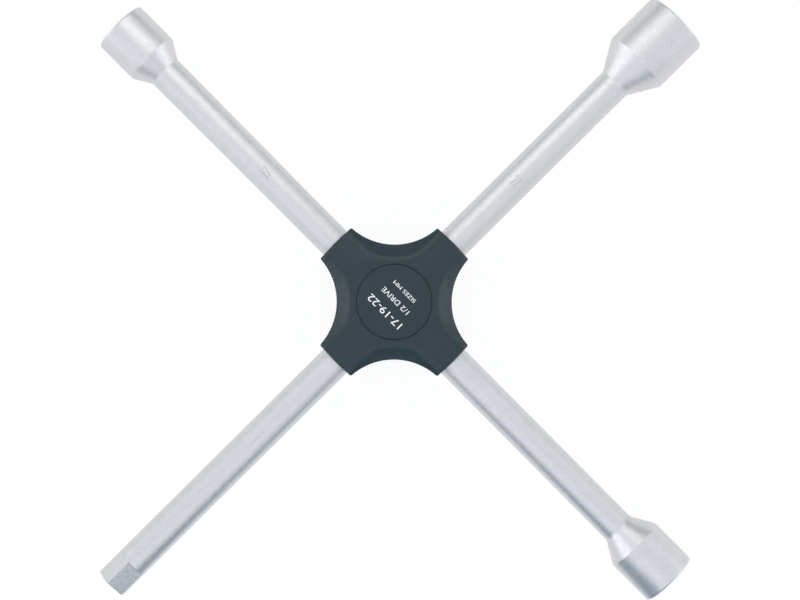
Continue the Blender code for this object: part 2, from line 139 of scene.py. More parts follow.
SEAT_DEPTH = 3.0 * MM
HEAD_SEAT_RADIUS = 2.9 * MM
NUT_SEAT_RADIUS = 3.5 * MM

# The cap's print: text, its height, width, and place to the right and up
LEGEND = (
    ("17-19-22", 3.6 * MM, 21.0 * MM, 0.0, 6.4 * MM),
    ("1/2 DRIVE", 2.6 * MM, 17.0 * MM, 0.0, -0.8 * MM),
    ("SIZES MM", 1.9 * MM, 14.0 * MM, 0.0, -7.0 * MM),
)
PRINT_THICKNESS = 0.02 * MM
PRINT_WEIGHT = 0.004  # how much bolder the letters are than the font's, of their size

# Camera: it looks straight down on the wrench, whose arms lie along the picture's diagonals
CAMERA_LEAN = (-0.012, -0.010)  # sideways metres per metre of height
CAMERA_DISTANCE = 1.2
CAMERA_AIM = (2.80 * MM, -1.16 * MM, 0)
CAMERA_ROLL = radians(45.2)
CAMERA_LENS = 111.7

# Stage, in metres. Directions are world ones: the picture's up is +X +Y, its right +X -Y
FLOOR_HALF_WIDTH = 4.0
FLOOR_GAP = 0.05 * MM
FLOOR_GLOW = 0.92
FLOOR_GLOW_COLOUR = (0.99, 0.995, 1.0)
PICTURE_UP = Vector((1, 1, 0)).normalized()
PICTURE_RIGHT = Vector((1, -1, 0)).normalized()

# A dark card under the picture's bottom edge and a soft box over its top edge
CARD_PLACE = PICTURE_UP * -0.25 + Vector((0, 0, 0.065))
CARD_HALF_SIZE = (0.24, 0.12)
CARD_LEAN = radians(45)
CARD_COLOUR = (0.30, 0.38, 0.45)
TOP_BOX_PLACE = PICTURE_UP * 0.283 - PICTURE_RIGHT * 0.04 + Vector((0, 0, 0.36))
TOP_BOX_HALF_SIZE = (0.15, 0.15)
TOP_BOX_LEAN = radians(-38)
TOP_BOX_GLOW = 1.62

# The tent's light: its brightness, then what is added where a direction's share along
# each way rises from the first figure to the second
TENT_COLOUR = (1.0, 1.0, 1.0)
TENT_LIGHT = 0.93
SHADE_COLOUR = (0.03, 0.055, 0.08)  # added all round, so that no side is black
LOW_DOWN = ((0, 0, -1), -0.5, -0.1)
TENT_PATCHES = (
    (-0.14, ((0.3, -0.9, 0.3), 0.55, 0.95)),
    (0.22, ((-1, -1, 1.6), 0.80, 0.97)),
    (0.75, ((1, -1, 0.45), 0.84, 0.97)),
    (0.75, ((-1, 1, 0.45), 0.84, 0.97)),
    (-0.65, LOW_DOWN, ((1, 1, 0), 0.6, 0.85)),
    (-0.15, LOW_DOWN, ((-1, -1, 0), 0.5, 0.8)),
)


# ---------------------------------------------------------------- mesh helpers


def link(thing):
    bpy.context.scene.collection.objects.link(thing)
    return thing


def object_from(bm, name):
    bmesh.ops.recalc_face_normals(bm, faces=bm.faces)
    mesh = bpy.data.meshes.new(name)
    bm.to_mesh(mesh)
    bm.free()
    return link(bpy.data.objects.new(name, mesh))


def rounded(corners, steps=8):
    """A profile's points, from (radius, height, blend) corners, each blend an arc."""
    points = []
    for index, (x, z, blend) in enumerate(corners):
        here = Vector((x, z))
        if not blend:
            points.append(here)
            continue
        back = (Vector(corners[index - 1][:2]) - here).normalized()
        ahead = (Vector(corners[index + 1][:2]) - here).normalized()
        half_angle = back.angle(ahead) / 2
        middle = (back + ahead).normalized() * (blend / sin(half_angle)) + here
        first = back * (blend / tan(half_angle)) + here - middle
        last = ahead * (blend / tan(half_angle)) + here - middle
        for step in range(steps + 1):
            spoke = first.lerp(last, step / steps).normalized() * blend
            points.append(middle + spoke)
    return points


def skin(bm, ring, other):
    """Faces between two rings, either of which may be a single point on the axis."""
    count = max(len(ring), len(other))
    for index in range(count):
        if len(ring) == 1:
            bm.faces.new((ring[0], other[index], other[index - 1]))
        elif len(other) == 1:
            bm.faces.new((ring[index - 1], ring[index], other[0]))
        else:
            bm.faces.new((ring[index - 1], ring[index], other[index], other[index - 1]))


def turned(name, corners, place=Matrix(), sides=SIDES):
    """A solid of revolution about Z, from a profile that runs from its top down."""
    bm = bmesh.new()
    rings = []
    for point in rounded(corners):
        turns = [2 * pi * index / sides for index in range(sides)] if point.x > 0 else [0]
        places = [(point.x * cos(turn), point.x * sin(turn), point.y) for turn in turns]
        rings.append([bm.verts.new(place @ Vector(spot)) for spot in places])
    for ring, other in zip(rings, rings[1:]):
        skin(bm, ring, other)
    return object_from(bm, name)


def cone(name, start, end, start_radius, end_radius, sides=SIDES, spin=0.0, edge_blend=0.0):
    """A closed cone or cylinder between two points, its long edges rounded if asked."""
    start, end = Vector(start), Vector(end)
    turn = Vector((0, 0, 1)).rotation_difference(end - start).to_matrix().to_4x4()
    place = Matrix.Translation((start + end) / 2) @ turn @ Matrix.Rotation(spin, 4, "Z")
    bm = bmesh.new()
    bmesh.ops.create_cone(
        bm, cap_ends=True, segments=sides, radius1=start_radius, radius2=end_radius,
        depth=(end - start).length, matrix=place,
    )
    if edge_blend:
        way = (end - start).normalized()
        long = [e for e in bm.edges if abs((e.verts[0].co - e.verts[1].co).normalized() @ way) > 0.9]
        bmesh.ops.bevel(bm, geom=long, offset=edge_blend, segments=4, affect="EDGES", profile=0.5)
    return object_from(bm, name)


def box(name, low, high, turn=Matrix()):
    low, high = Vector(low), Vector(high)
    size = Matrix.Diagonal((*(high - low), 1))
    bm = bmesh.new()
    bmesh.ops.create_cube(bm, size=1, matrix=turn @ Matrix.Translation((low + high) / 2) @ size)
    return object_from(bm, name)


def cut(piece, *tools):
    """Takes the tools out of a piece for good, and removes them."""
    for tool in tools:
        change = piece.modifiers.new("cut", "BOOLEAN")
        change.operation = "DIFFERENCE"
        change.solver = "EXACT"
        change.object = tool
    shown = piece.evaluated_get(bpy.context.evaluated_depsgraph_get())
    mesh = bpy.data.meshes.new_from_object(shown)
    piece.modifiers.clear()
    piece.data = mesh
    for tool in tools:
        bpy.data.objects.remove(tool)


def finish_piece(piece, surface, slot, body, *nodes, sharp=30):
    """Smooth shading, the material, its body if one is given, and hides the frame's pieces that it
    replaces.
    """
    piece.data.materials.clear()
    piece.data.materials.append(surface)
    piece.data.shade_smooth()
    piece.data.set_sharp_from_angle(angle=radians(sharp))
    if body:
        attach(piece, body)
    if nodes:
        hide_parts(*nodes)


def arm_matrix(direction):
    """Turns local Z to an arm's direction, with local Y kept as world up."""
    along = Vector(direction)
    up = Vector((0, 0, 1))
    return Matrix((up.cross(along), up, along)).transposed().to_4x4()


# ---------------------------------------------------------------- material helpers


class Surface:
    """A Principled material, with short ways to add procedural detail to it."""

    def __init__(self, name, colour, roughness, metallic=0.0):
        self.material = bpy.data.materials.new(name)
        self.material.use_nodes = True
        self.nodes = self.material.node_tree.nodes
        self.links = self.material.node_tree.links
        self.shader = self.nodes["Principled BSDF"]
        self.set("Base Color", (*colour, 1))
        self.set("Roughness", roughness)
        self.set("Metallic", metallic)
        self.place = self.nodes.new("ShaderNodeTexCoord").outputs["Object"]
        self.normal = None

    def set(self, socket, value):
        self.shader.inputs[socket].default_value = value

    def noise(self, size, detail=2.0, stretch=(1, 1, 1), rough=0.5):
        """Noise whose features are about this size, in metres."""
        shape = self.nodes.new("ShaderNodeMapping")
        shape.inputs["Scale"].default_value = stretch
        self.links.new(self.place, shape.inputs["Vector"])
        made = self.nodes.new("ShaderNodeTexNoise")
        made.inputs["Scale"].default_value = 1 / size
        made.inputs["Detail"].default_value = detail
        made.inputs["Roughness"].default_value = rough
        self.links.new(shape.outputs["Vector"], made.inputs["Vector"])
        return made.outputs["Fac"]

    def ramp(self, value, low, high, start=0.35, end=0.65):
        """Maps a value's middle range to another range, for roughness and such."""
        made = self.nodes.new("ShaderNodeMapRange")
        made.inputs["From Min"].default_value = start
        made.inputs["From Max"].default_value = end
        made.inputs["To Min"].default_value = low
        made.inputs["To Max"].default_value = high
        self.links.new(value, made.inputs["Value"])
        return made.outputs["Result"]

    def colours(self, value, *stops):
        """A colour ramp over a value, from (position, colour) stops."""
        made = self.nodes.new("ShaderNodeValToRGB")
        elements = made.color_ramp.elements
        while len(elements) < len(stops):
            elements.new(0.5)
        for element, (position, colour) in zip(elements, stops):
            element.position = position
            element.color = (*colour, 1)
        self.links.new(value, made.inputs["Fac"])
        return made.outputs["Color"]

    def math(self, operation, first, second):
        made = self.nodes.new("ShaderNodeMath")
        made.operation = operation
        self.links.new(first, made.inputs[0])
        self.links.new(second, made.inputs[1])
        return made.outputs["Value"]

    def tinted(self, value, colour):
        """A colour whose brightness follows a value around 1."""
        made = self.nodes.new("ShaderNodeVectorMath")
        made.operation = "SCALE"
        made.inputs[0].default_value = colour
        self.links.new(value, made.inputs["Scale"])
        return made.outputs["Vector"]

    def connect(self, value, socket):
        self.links.new(value, self.shader.inputs[socket])

    def bump(self, height, distance, strength=1.0):
        """Adds a bump to those before it; distance is the height's full range."""
        made = self.nodes.new("ShaderNodeBump")
        made.inputs["Distance"].default_value = distance
        made.inputs["Strength"].default_value = strength
        self.links.new(height, made.inputs["Height"])
        if self.normal:
            self.links.new(self.normal, made.inputs["Normal"])
        self.normal = made.outputs["Normal"]
        self.links.new(self.normal, self.shader.inputs["Normal"])


def satin_chrome(name="satin_chrome", grain_size=0.5 * MM, grain_depth=0.012 * MM, contrast=0.10):
    """Matt chrome over blasted steel: a fine grain with faint cloudy patches."""
    steel = Surface(name, STEEL_COLOUR, 0.40, 1.0)
    cloud = steel.noise(6 * MM, 3.0)
    grain = steel.noise(grain_size, 3.0, rough=0.7)
    speckle = steel.math("MULTIPLY", steel.ramp(grain, 1 - contrast, 1 + contrast),
                         steel.ramp(cloud, 0.985, 1.015))
    steel.connect(steel.tinted(speckle, STEEL_COLOUR), "Base Color")
    steel.connect(steel.ramp(steel.noise(2.5 * MM, 3.0), 0.36, 0.43), "Roughness")
    steel.bump(steel.noise(1.6 * MM, 2.0), 0.005 * MM)
    steel.bump(grain, grain_depth)
    return steel.material


def weld_metal():
    """Bare weld inside the hub: dark and rippled."""
    steel = Surface("weld_metal", (0.32, 0.31, 0.30), 0.5, 1.0)
    steel.connect(
        steel.colours(
            steel.noise(2 * MM, 4.0), (0.3, (0.22, 0.21, 0.20)), (0.7, (0.40, 0.39, 0.37))
        ),
        "Base Color",
    )
    steel.bump(steel.noise(0.9 * MM, 3.0), 0.12 * MM)
    return steel.material


def hub_plastic(name, tint, roughness):
    """Blue-black moulded plastic with a fine spark-eroded grain."""
    dark = tuple(part * 0.86 for part in tint)
    light = tuple(part * 1.12 for part in tint)
    plastic = Surface(name, tint, roughness)
    plastic.connect(
        plastic.colours(plastic.noise(6 * MM, 3.0), (0.3, dark), (0.7, light)), "Base Color"
    )
    plastic.connect(
        plastic.ramp(plastic.noise(1.8 * MM, 3.0), roughness - 0.04, roughness + 0.05),
        "Roughness",
    )
    plastic.bump(plastic.noise(0.45 * MM, 3.0, rough=0.6), 0.020 * MM)
    plastic.bump(plastic.noise(9 * MM, 1.0), 0.05 * MM)
    return plastic.material


def glowing(name, strength, colour=(1, 1, 1), base=0.0):
    """A light of the stage: it glows, and reflects a little if it has a base tone."""
    glow = Surface(name, (base, base, base), 1.0)
    glow.set("Specular IOR Level", 0)
    glow.set("Emission Color", (*colour, 1))
    glow.set("Emission Strength", strength)
    return glow.material


def print_ink():
    """White pad print, a little worn."""
    ink = Surface("cap_print", (0.86, 0.87, 0.88), 0.45)
    ink.connect(
        ink.colours(
            ink.noise(0.6 * MM, 3.0), (0.3, (0.72, 0.74, 0.76)), (0.5, (0.90, 0.91, 0.92))
        ),
        "Base Color",
    )
    ink.bump(ink.noise(0.3 * MM, 2.0), 0.006 * MM)
    return ink.material


def plated(name, colour, roughness):
    """Small bright hardware: plated steel with faint wear."""
    metal = Surface(name, colour, roughness, 1.0)
    worn = tuple(part * 0.8 for part in colour)
    metal.connect(
        metal.colours(metal.noise(1.2 * MM, 3.0), (0.3, worn), (0.65, colour)), "Base Color"
    )
    metal.connect(
        metal.ramp(metal.noise(0.5 * MM, 2.0), roughness * 0.85, roughness * 1.25), "Roughness"
    )
    metal.bump(metal.noise(0.3 * MM, 2.0), 0.004 * MM)
    return metal.material


# ---------------------------------------------------------------- steel pieces


def stamp(text, distance, direction):
    """Numerals bent round the bar, their tops away from the hub unless turned."""
    along = Vector(direction)
    across = Vector((along.y, -along.x, 0))
    curve = bpy.data.curves.new("numerals", "FONT")
    curve.body = text
    curve.size = STAMP_SIZE
    curve.align_x = "CENTER"
    curve.align_y = "CENTER"
    curve.resolution_u = 6
    curve.extrude = STAMP_DEPTH
    thing = link(bpy.data.objects.new("numerals", curve))
    shown = thing.evaluated_get(bpy.context.evaluated_depsgraph_get())
    bm = bmesh.new()
    bm.from_mesh(shown.to_mesh())
    bpy.data.objects.remove(thing)
    bmesh.ops.remove_doubles(bm, verts=bm.verts, dist=0.002 * MM)
    for vert in bm.verts:
        x, y, z = vert.co
        turn = x * STAMP_WIDTH / BAR_RADIUS
        reach = BAR_RADIUS + z
        vert.co = along * (distance + y) + across * reach * sin(turn)
        vert.co.z = reach * cos(turn)
    return object_from(bm, "numerals")


class Head:
    """A socket head's sizes: its place and width from the frame, the rest named here."""

    def __init__(self, node, direction, across_flats, neck, shoulder, neck_radius, blends, depths):
        low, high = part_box(node)
        self.node = node
        self.direction = direction
        self.across_flats = across_flats
        self.neck = neck
        self.shoulder = shoulder
        self.neck_radius = neck_radius
        self.neck_blend, self.shoulder_blend = blends
        self.hex_depth, self.bore_depth = depths
        self.outer_radius = high.z
        self.rim = max(abs(high.x), abs(low.y), abs(high.y))
        self.split = neck - SPLIT_BEFORE_NECK


HEAD_17 = Head(
    "socket_17", (0, 1, 0), 17.2 * MM, 157.2 * MM, 166.2 * MM, 8.35 * MM,
    (1.0 * MM, 3.5 * MM), (16.0 * MM, 21.0 * MM),
)
HEAD_19 = Head(
    "socket_19", (0, -1, 0), 19.2 * MM, 153.5 * MM, 164.4 * MM, 8.05 * MM,
    (5.0 * MM, 2.0 * MM), (17.0 * MM, 22.0 * MM),
)
HEAD_22 = Head(
    "socket_22", (1, 0, 0), 22.2 * MM, 150.2 * MM, 165.0 * MM, 8.0 * MM,
    (2.5 * MM, 1.5 * MM), (19.0 * MM, 24.0 * MM),
)


def socket_head(head, surface):
    """A head turned outside, drilled, broached to a hexagon, chamfered at its mouth."""
    base = head.split + JOIN_GAP / 2
    bore = SPIGOT_RADIUS + BORE_CLEARANCE
    bore_end = head.split + SPIGOT_LENGTH + BORE_CLEARANCE
    corners = [
        (0, head.rim, 0),
        (head.outer_radius, head.rim, RIM_BLEND),
        (head.outer_radius, head.shoulder, head.shoulder_blend),
        (head.neck_radius, head.neck, head.neck_blend),
        (head.neck_radius, base, 0),
        (bore, base, 0),
        (bore, bore_end, 0),
        (0, bore_end, 0),
    ]
    piece = turned(f"{head.node}_head", corners, arm_matrix(head.direction))
    way = Vector(head.direction)
    rim = way * head.rim
    past = rim + way * MM
    corner_radius = head.across_flats / sqrt(3)
    drill_radius = head.across_flats / 2 + 0.1 * MM
    bottom = rim - way * head.bore_depth
    drilled = cone("drilled", bottom, past, drill_radius, drill_radius, 96)
    tip = cone("tip", bottom - way * 1.2 * MM, bottom + way * 0.05 * MM, 2 * MM, drill_radius, 96)
    hexagon = cone(
        "hexagon", rim - way * head.hex_depth, past, corner_radius, corner_radius, 6,
        pi / 6, edge_blend=0.35 * MM,
    )
    depth = 3 * MM
    lead_radius = corner_radius + RIM_LEAD_IN
    lead_in = cone("lead_in", rim - way * depth, past, lead_radius - depth, lead_radius + MM)
    cut(piece, drilled, tip, hexagon, lead_in)
    finish_piece(piece, surface, "satin_chrome", "wrench", head.node)


def spigot_end(head):
    """The bar's profile from a spigot's tip, down its outside, to where it tapers."""
    end = head.split - JOIN_GAP / 2
    tip = head.split + SPIGOT_LENGTH
    chamfer = 0.6 * MM
    return [
        (0, tip),
        (SPIGOT_RADIUS - chamfer, tip),
        (SPIGOT_RADIUS, tip - chamfer),
        (SPIGOT_RADIUS, end),
        (head.neck_radius, end),
        (BAR_RADIUS, TAPER_START),
    ]


def drive_end():
    return [
        (0, DRIVE_TIP),
        (BAR_RADIUS - DRIVE_CHAMFER, DRIVE_TIP),
        (BAR_RADIUS, DRIVE_TIP - DRIVE_CHAMFER),
        (BAR_RADIUS, TAPER_START),
    ]


def bar(name, direction, top, bottom):
    down = [(x, z, 0) for x, z in top]
    up = [(x, -z, 0) for x, z in reversed(bottom)]
    return turned(name, down + up, arm_matrix(direction))


def flat_normal(index):
    turn = DRIVE_TURN + index * pi / 2
    return Vector((0, cos(turn), sin(turn)))


def drive_flats():
    """Tools for the four flats, and for the thin groove that the mill left at their roots."""
    flat = DRIVE_ACROSS_FLATS / 2
    root = DRIVE_FLAT_LENGTH - DRIVE_TIP
    tools = []
    for index in range(4):
        turn = Matrix.Rotation(DRIVE_TURN + index * pi / 2, 4, "X")
        far = flat + BAR_RADIUS
        tools.append(
            box("flat", (-DRIVE_TIP - MM, flat, -BAR_RADIUS), (root, far, BAR_RADIUS), turn)
        )
        if index:
            groove = (root - GROOVE_WIDTH, flat - GROOVE_DEPTH, -BAR_RADIUS)
            tools.append(box("groove", groove, (root, far, BAR_RADIUS), turn))
    return tools


def detent_matrix():
    """Puts local Z along the detent's hole, out of the drive."""
    outward = Vector((0, -cos(DRIVE_TURN), -sin(DRIVE_TURN)))
    along = Vector((1, 0, 0))
    turn = Matrix((along, outward.cross(along), outward)).transposed().to_4x4()
    return Matrix.Translation((DETENT_FROM_TIP - DRIVE_TIP, 0, 0)) @ turn


def detent_hole():
    face = DRIVE_ACROSS_FLATS / 2
    corners = [
        (0, face + 0.5 * MM, 0),
        (MOUTH_RADIUS, face + 0.5 * MM, 0),
        (MOUTH_RADIUS, face - 0.05 * MM, 0),
        (POCKET_RADIUS, face - MOUTH_DEPTH, 0),
        (POCKET_RADIUS, face - POCKET_DEPTH, 0),
        (0, face - POCKET_DEPTH, 0),
    ]
    return turned("hole", corners, detent_matrix(), 64)


def steel_pieces(surface, milled):
    reach = BAR_RADIUS + LAP_GAP
    wide = 2 * BAR_RADIUS
    long_bar = bar("bar_22_drive_turned", (1, 0, 0), spigot_end(HEAD_22), drive_end())
    cut(
        long_bar,
        box("lap", (-reach, -wide, -LAP_GAP / 2), (reach, wide, wide)),
        *drive_flats(),
        detent_hole(),
        stamp("22", 82 * MM, (1, 0, 0)),
        stamp("1", 93.2 * MM, (-1, 0, 0)),
        stamp("-", 89.5 * MM, (-1, 0, 0)),
        stamp("2", 85.6 * MM, (-1, 0, 0)),
    )
    finish_piece(long_bar, surface, "satin_chrome", "wrench", "bar_22_drive")
    long_bar.data.materials.append(milled)
    for face in long_bar.data.polygons:
        beyond = face.center.x < DRIVE_FLAT_LENGTH - DRIVE_TIP
        level = max(face.normal.dot(flat_normal(turn)) for turn in (1, 2, 3))
        if beyond and level > 0.999:
            face.material_index = 1
    short_bar = bar("bar_17_19_turned", (0, 1, 0), spigot_end(HEAD_17), spigot_end(HEAD_19))
    cut(
        short_bar,
        box("lap", (-wide, -reach, -wide), (wide, reach, LAP_GAP / 2)),
        stamp("17", 87 * MM, (0, 1, 0)),
        stamp("19", 78 * MM, (0, -1, 0)),
    )
    finish_piece(short_bar, surface, "satin_chrome", "wrench", "bar_17_19")
    for head in (HEAD_17, HEAD_19, HEAD_22):
        socket_head(head, surface)


def detent_ball(surface):
    low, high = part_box("detent_ball")
    bm = bmesh.new()
    place = Matrix.Translation((low + high) / 2) @ detent_matrix().to_3x3().to_4x4()
    bmesh.ops.create_uvsphere(bm, u_segments=64, v_segments=32, radius=BALL_RADIUS, matrix=place)
    ball = object_from(bm, "detent_ball_polished")
    finish_piece(ball, surface, "ball_steel", "detent_ball", "detent_ball")


def detent_spring(surface):
    """A coil from the bottom of the ball's pocket in the bar up to just under the ball."""
    place = detent_matrix()
    outward = place.to_3x3() @ Vector((0, 0, 1))
    low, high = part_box("detent_ball")
    ball_height = ((low + high) / 2 - place.translation).dot(outward)
    seat = ball_height - sqrt(BALL_RADIUS**2 - SPRING_RADIUS**2)
    foot = DRIVE_ACROSS_FLATS / 2 - POCKET_DEPTH + SPRING_GAP + SPRING_WIRE_RADIUS
    top = seat - SPRING_GAP - SPRING_WIRE_RADIUS
    count = SPRING_TURNS * SPRING_POINTS_PER_TURN
    curve = bpy.data.curves.new("coil", "CURVE")
    curve.dimensions = "3D"
    curve.bevel_depth = SPRING_WIRE_RADIUS
    curve.bevel_resolution = 3
    curve.use_fill_caps = True
    line = curve.splines.new("POLY")
    line.points.add(count)
    for index, point in enumerate(line.points):
        turn = 2 * pi * index / SPRING_POINTS_PER_TURN
        height = foot + (top - foot) * index / count
        point.co = (SPRING_RADIUS * cos(turn), SPRING_RADIUS * sin(turn), height, 1)
    thing = link(bpy.data.objects.new("coil", curve))
    shown = thing.evaluated_get(bpy.context.evaluated_depsgraph_get())
    bm = bmesh.new()
    bm.from_mesh(shown.to_mesh())
    bpy.data.objects.remove(thing)
    bmesh.ops.transform(bm, matrix=place, verts=bm.verts)
    coil = object_from(bm, "detent_spring_coil")
    finish_piece(coil, surface, "spring_steel", None, "detent_spring")
    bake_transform(coil)


# ---------------------------------------------------------------- hub pieces


def dome_height(radius):
    """The hub's height over its middle plane: flat in the middle, lower on the lobes."""
    share = max(0.0, (radius - DOME_START) / (LOBE_END - DOME_START))
    return HUB_HALF_HEIGHT - LOBE_DROP * share**1.5


def star_outline(waist_inset, flank_inset, end_inset, end_steps=12, blend_steps=5, flank_steps=44):
    """The star's outline, with rounded corners, drawn in by these amounts."""
    end = LOBE_END - end_inset
    centre = Vector((FLANK_CENTRE, FLANK_CENTRE))
    radius = FLANK_RADIUS + flank_inset
    blend_x = end - CORNER_RADIUS
    blend_y = FLANK_CENTRE - sqrt((radius + CORNER_RADIUS) ** 2 - (FLANK_CENTRE - blend_x) ** 2)
    blend_centre = Vector((blend_x, blend_y))
    touch = (centre - blend_centre).normalized()
    corner_turn = Vector((1, 0)).angle(touch)
    quarter = []
    for step in range(end_steps):
        y = blend_y * (2 * step / end_steps - 1)
        quarter.append(Vector((end - END_BULGE * (y / blend_y) ** 2, y)))
    for step in range(blend_steps):
        turn = corner_turn * step / blend_steps
        bulge = END_BULGE * (1 - step / blend_steps)
        spoke = Vector((cos(turn), sin(turn))) * CORNER_RADIUS
        quarter.append(blend_centre + spoke - Vector((bulge, 0)))
    from_centre = blend_centre - centre
    widest = Vector((-1, -1)).angle(from_centre)
    for step in range(flank_steps):
        share = 1 - 2 * step / flank_steps
        inset = waist_inset + (flank_inset - waist_inset) * share**2
        angle = 5 * pi / 4 + widest * share
        spoke = Vector((cos(angle), sin(angle))) * (FLANK_RADIUS + inset)
        quarter.append(centre + spoke)
    mirrored = [Vector((p.y, p.x)) for p in reversed(quarter[end_steps + 1:end_steps + blend_steps])]
    quarter += [centre + Vector((cos(5 * pi / 4 - widest), sin(5 * pi / 4 - widest))) * radius]
    quarter += mirrored
    points = []
    for turn in range(4):
        points += [Matrix.Rotation(turn * pi / 2, 2) @ point for point in quarter]
    return points


def chamfer_height(point, inward):
    """A chamfer's height: straight at first, then level with the dome; all blend on the lobes."""
    waist = FLANK_CENTRE * sqrt(2) - FLANK_RADIUS
    lobe = min(1.0, max(0.0, (point.length - waist) / (LOBE_END - waist)))
    straight = CHAMFER_STRAIGHT * (1 - lobe) ** 3
    over = max(0.0, inward - straight)
    rise = 2 / (1 + straight) * (inward - over**2 / (2 * (1 - straight)))
    return WALL_HEIGHT + (dome_height(point.length) - WALL_HEIGHT) * rise


def shell_rings(side):
    """The rings of half the hub, from its parting line up and in to the cap's recess."""
    rings = []

    def ring(points, heights):
        rings.append([(p.x, p.y * side, z * side) for p, z in zip(points, heights)])

    base = star_outline(PARTING_CHAMFER, PARTING_CHAMFER, PARTING_CHAMFER)
    ring(base, [PARTING_GAP] * len(base))
    wall = star_outline(0, 0, 0)
    for height in (PARTING_GAP + PARTING_CHAMFER, WALL_HEIGHT / 2, WALL_HEIGHT - EDGE_BLEND):
        ring(wall, [height] * len(wall))
    for step in range(CHAMFER_STEPS + 1):
        inward = step / CHAMFER_STEPS
        outline = star_outline(
            WAIST_CHAMFER * inward, FLANK_CHAMFER * inward, END_CHAMFER * inward
        )
        ring(outline, [chamfer_height(p, inward) for p in outline])
    middle = [p.normalized() * DOME_START for p in outline]
    for share in (0.2, 0.4, 0.6, 0.8):
        between = [p.lerp(q, share) for p, q in zip(outline, middle)]
        ring(between, [dome_height(p.length) for p in between])
    recess = CAP_RADIUS + RECESS_GAP
    stud = CAP_STUD_RADIUS + RECESS_GAP
    lip = 0.15 * MM
    floor = HUB_HALF_HEIGHT - CAP_THICKNESS - RECESS_GAP
    steps_in = (
        (DOME_START, HUB_HALF_HEIGHT),
        (recess + lip, HUB_HALF_HEIGHT),
        (recess, HUB_HALF_HEIGHT - lip),
        (recess, floor),
        (stud, floor),
        (stud, floor - CAP_STUD_LENGTH),
    )
    for radius, height in steps_in:
        circle = [p.normalized() * radius for p in outline]
        ring(circle, [height] * len(circle))
    return rings


def screw_places():
    return [(x * SCREW_OFFSET, y * SCREW_OFFSET) for x, y in ((1, 1), (-1, 1), (-1, -1), (1, -1))]


def hub_shell(name, side, surface, node):
    """One half of the hub: side is 1 for the front and -1 for the rear."""
    bm = bmesh.new()
    loops = [[bm.verts.new(spot) for spot in ring] for ring in shell_rings(side)]
    for ring, other in zip(loops, loops[1:]):
        skin(bm, ring, other)
    bm.faces.new(loops[0])
    bm.faces.new(loops[-1])
    shell = object_from(bm, name)
    far = 2 * LOBE_END
    tools = [
        cone("channel", (-far, 0, 0), (far, 0, 0), BAR_HOLE_RADIUS, BAR_HOLE_RADIUS, 96),
        cone("channel", (0, -far, 0), (0, far, 0), BAR_HOLE_RADIUS, BAR_HOLE_RADIUS, 96),
    ]
    seat_height = HUB_HALF_HEIGHT - CAP_THICKNESS - SEAT_DEPTH - RECESS_GAP
    for x, y in screw_places():
        top = side * HUB_HALF_HEIGHT
        seat = side * seat_height
        tools.append(
            cone("hole", (x, y, -side * MM), (x, y, seat + side * MM),
                 SCREW_HOLE_RADIUS, SCREW_HOLE_RADIUS, 32)
        )
        if side > 0:
            low, high, radius, sides, spin = seat, top, HEAD_SEAT_RADIUS, 32, 0.0
        else:
            low, high, radius, sides = top, seat, NUT_SEAT_RADIUS, 6
            spin = pi / 6 - Vector((1, 0)).angle_signed(Vector((x, y)))
        tools.append(cone("seat", (x, y, low), (x, y, high), radius, radius, sides, spin))
    cut(shell, *tools)
    finish_piece(shell, surface, "hub_plastic", "wrench", node)


def cap(name, side, surface, node):
    """The round cap, flush with the hub, with a stud pressed into the shell."""
    under = HUB_HALF_HEIGHT - CAP_THICKNESS
    stud_end = under - CAP_STUD_LENGTH
    corners = [
        (0, HUB_HALF_HEIGHT, 0),
        (CAP_RADIUS, HUB_HALF_HEIGHT, 0.3 * MM),
        (CAP_RADIUS, under, 0.2 * MM),
        (CAP_STUD_RADIUS, under, 0),
        (CAP_STUD_RADIUS, stud_end, 0),
        (0, stud_end, 0),
    ]
    place = Matrix() if side > 0 else Matrix.Rotation(pi, 4, "X")
    finish_piece(turned(name, corners, place), surface, "cap_plastic", "wrench", node)


def legend(surface):
    """The front cap's print, read with +Y to the right: the sizes, the drive, the unit."""
    bm = bmesh.new()
    for text, height, width, right, up in LEGEND:
        curve = bpy.data.curves.new("legend", "FONT")
        curve.body = text
        curve.align_x = "CENTER"
        curve.align_y = "CENTER"
        curve.extrude = PRINT_THICKNESS / 2
        curve.offset = PRINT_WEIGHT
        thing = link(bpy.data.objects.new("legend", curve))
        mesh = thing.evaluated_get(bpy.context.evaluated_depsgraph_get()).to_mesh()
        spots = [vert.co for vert in mesh.vertices]
        low = Vector(min(spot[axis] for spot in spots) for axis in range(2))
        high = Vector(max(spot[axis] for spot in spots) for axis in range(2))
        across, upward = high - low
        middle = (low + high) / 2
        for spot in spots:
            spot.x = right + (spot.x - middle.x) * width / across
            spot.y = up + (spot.y - middle.y) * height / upward
        bm.from_mesh(mesh)
        bpy.data.objects.remove(thing)
    turn = Matrix.Rotation(pi / 2, 4, "Z")
    height = Matrix.Translation((0, 0, HUB_HALF_HEIGHT + PRINT_THICKNESS))
    bmesh.ops.transform(bm, matrix=height @ turn, verts=bm.verts)
    bmesh.ops.remove_doubles(bm, verts=bm.verts, dist=0.001 * MM)
    finish_piece(object_from(bm, "cap_legend"), surface, "cap_print", "wrench")


# ---------------------------------------------------------------- the stage


def add_floor():
    """A white light table, so that the floor stays white beside the wrench."""
    bm = bmesh.new()
    bmesh.ops.create_grid(bm, x_segments=8, y_segments=8, size=FLOOR_HALF_WIDTH)
    floor = object_from(bm, "floor")
    floor.location.z = FLOOR_HEIGHT - FLOOR_GAP
    floor.data.materials.append(glowing("light_table", FLOOR_GLOW, FLOOR_GLOW_COLOUR, 0.1))


